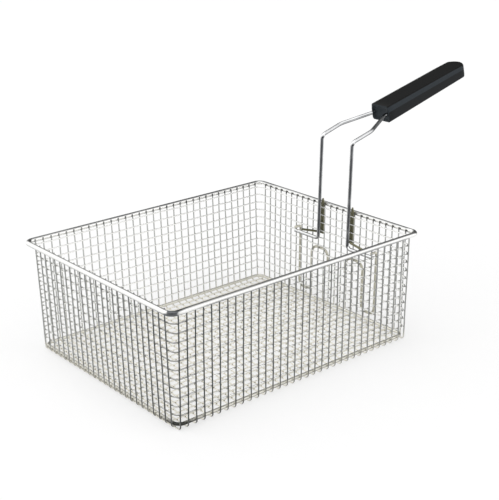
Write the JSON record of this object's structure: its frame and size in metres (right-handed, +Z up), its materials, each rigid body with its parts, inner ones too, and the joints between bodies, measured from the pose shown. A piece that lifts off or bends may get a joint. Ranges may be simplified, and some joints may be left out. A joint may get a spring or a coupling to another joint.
{
  "type": "deep fryer basket",
  "caption": "Rectangular welded wire mesh fryer basket with a rod rim, a fixed two-rod handle and a black plastic grip.",
  "frame": {"origin": "centre of the mesh floor, on the plane that the basket rests on", "axes": "+Z up, +X along the basket towards the handle, +Y across it to the left as seen from behind the handle-less end"},
  "size_m": [0.4425, 0.2204, 0.2222],
  "materials": {
    "mesh_steel": "bright plated wire",
    "rod_steel": "polished rod",
    "handle_steel": "drawn rod",
    "bracket_steel": "dull plated",
    "grip_plastic": "satin moulded"
  },
  "bodies": {
    "root": {"rim_and_cross_wires": "mesh_steel", "bottom_ring": "rod_steel", "handle_rod_left": "handle_steel", "handle_rod_right": "handle_steel", "grip": "grip_plastic", "strap_left": "bracket_steel", "strap_right": "bracket_steel", "brace_left": "bracket_steel", "brace_right": "bracket_steel", "wall_loop_left": "bracket_steel", "wall_loop_right": "bracket_steel", "long_wire_01": "mesh_steel", "long_wire_02": "mesh_steel", "long_wire_03": "mesh_steel", "long_wire_04": "mesh_steel", "long_wire_05": "mesh_steel", "long_wire_06": "mesh_steel", "long_wire_07": "mesh_steel", "long_wire_08": "mesh_steel", "long_wire_09": "mesh_steel", "long_wire_10": "mesh_steel", "long_wire_11": "mesh_steel", "long_wire_12": "mesh_steel", "long_wire_13": "mesh_steel", "long_wire_14": "mesh_steel", "long_wire_15": "mesh_steel", "long_wire_16": "mesh_steel", "long_wire_17": "mesh_steel", "long_wire_18": "mesh_steel", "long_wire_19": "mesh_steel", "long_wire_20": "mesh_steel", "long_wire_21": "mesh_steel", "long_wire_22": "mesh_steel", "long_wire_23": "mesh_steel", "long_wire_24": "mesh_steel", "long_wire_25": "mesh_steel", "hoop_01": "mesh_steel", "hoop_02": "mesh_steel", "hoop_03": "mesh_steel", "hoop_04": "mesh_steel", "hoop_05": "mesh_steel", "hoop_06": "mesh_steel", "hoop_07": "mesh_steel", "hoop_08": "mesh_steel", "hoop_09": "mesh_steel", "hoop_10": "mesh_steel", "hoop_11": "mesh_steel", "hoop_12": "mesh_steel"}
  },
  "joints": []
}
